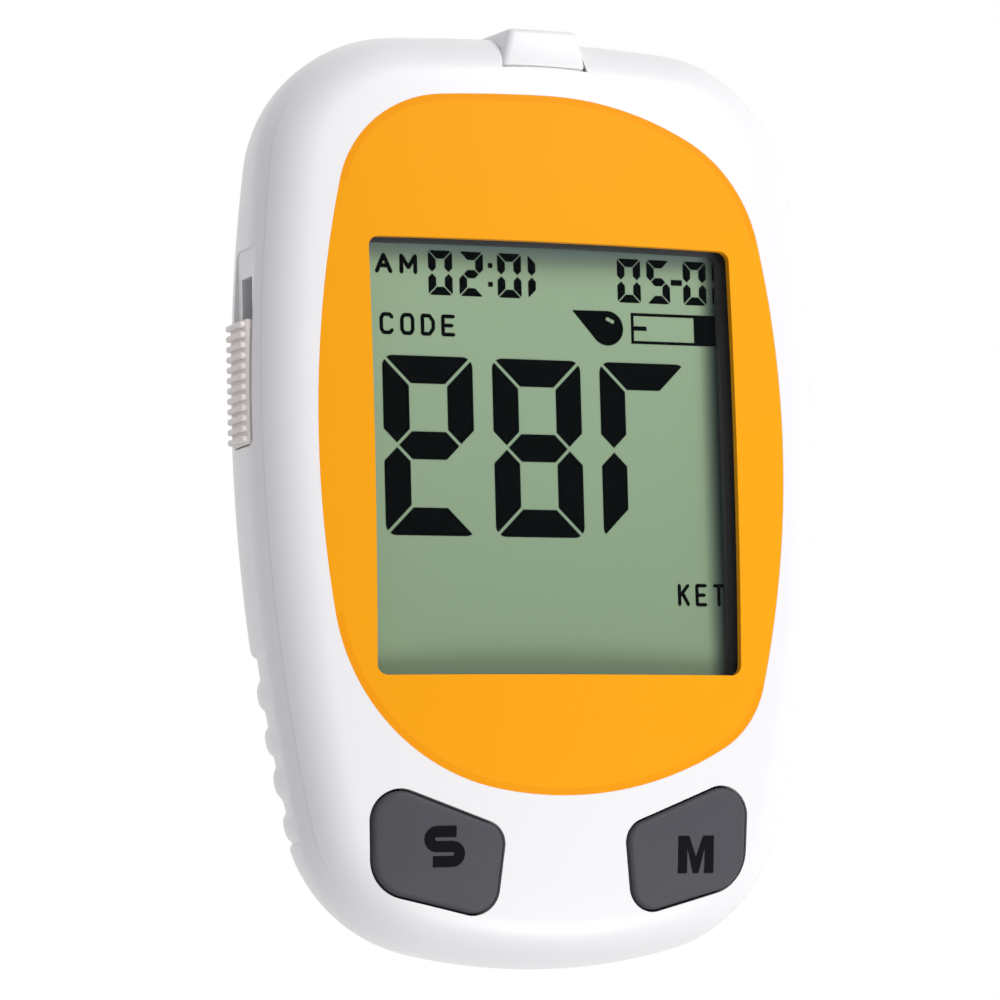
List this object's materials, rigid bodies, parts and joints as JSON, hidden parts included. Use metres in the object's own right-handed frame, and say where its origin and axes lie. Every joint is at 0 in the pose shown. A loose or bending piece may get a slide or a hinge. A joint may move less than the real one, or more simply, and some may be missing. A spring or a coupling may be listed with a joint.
{
  "type": "blood glucose meter",
  "caption": "Handheld blood glucose meter with a domed case, face panel, display window, keys, a side slider that ejects the test strip, and a battery door in the back.",
  "frame": {"origin": "centre of the bounding box's underside, on the flat back that the meter lies on", "axes": "+Z out of the display, +Y towards the test strip port, +X to the right as the display is read"},
  "size_m": [0.0655, 0.0988, 0.0214],
  "materials": {
    "cover_white": "white moulded plastic with a soft gloss",
    "panel_orange": "orange printed panel, satin",
    "lens_clear": "clear polished lens",
    "black_rubber": "black foam",
    "lcd_green": "grey-green reflective liquid crystal cell",
    "segment_black": "dark display segments",
    "frame_dark": "dark blue-black moulded plastic",
    "pink_rubber": "silicone with carbon layers",
    "key_grey": "dark grey moulded plastic, satin",
    "steel": "plain steel",
    "board_green": "green solder mask",
    "chip_black": "black moulded package",
    "component_tan": "ceramic parts",
    "connector_ivory": "ivory moulded plastic",
    "contact_gold": "gold-plated spring metal",
    "slider_grey": "warm light grey moulded plastic",
    "arm_grey": "grey moulded plastic",
    "cell_jacket": "plain printed metal jacket",
    "label_silver": "bare silver-grey label"
  },
  "bodies": {
    "housing": {"front_cover": "cover_white", "back_cover": "cover_white", "face_panel": "panel_orange", "display_window": "lens_clear", "display_gasket": "black_rubber", "lcd_glass": "lcd_green", "lcd_segments": "segment_black", "lcd_frame": "frame_dark", "zebra_strips": "pink_rubber", "key_domes": "steel", "circuit_board": "board_green", "processor_chip": "chip_black", "reader_chip": "chip_black", "crystal_can": "steel", "buzzer": "chip_black", "board_components": "component_tan", "strip_connector": "connector_ivory", "strip_contacts": "contact_gold", "port_guide": "cover_white", "ejector_spring": "steel", "battery_left": "cell_jacket", "battery_right": "cell_jacket", "positive_contacts": "steel", "negative_springs": "steel", "rating_label": "label_silver", "board_screws": "steel", "housing_screws": "steel"},
    "set_key": {"set_button": "key_grey"},
    "memory_key": {"memory_button": "key_grey"},
    "ejector": {"ejector_slider": "slider_grey", "ejector_arm": "arm_grey"},
    "door": {"battery_door": "cover_white"}
  },
  "joints": [
    {"name": "set_press", "type": "slide", "parent": "housing", "child": "set_key", "axis": [0, 0, -1], "range_m": [0, 0.0006], "stiffness_N_per_m": 2500, "springref_m": -0.0001},
    {"name": "memory_press", "type": "slide", "parent": "housing", "child": "memory_key", "axis": [0, 0, -1], "range_m": [0, 0.0006], "stiffness_N_per_m": 2500, "springref_m": -0.0001},
    {"name": "ejector_slide", "type": "slide", "parent": "housing", "child": "ejector", "axis": [0, 1, 0], "range_m": [0, 0.0074], "stiffness_N_per_m": 200, "springref_m": -0.004},
    {"name": "door_hinge", "type": "hinge", "parent": "housing", "child": "door", "pos_m": [0, 0.0109, 0.0004], "axis": [1, 0, 0], "range_deg": [0, 70]}
  ]
}
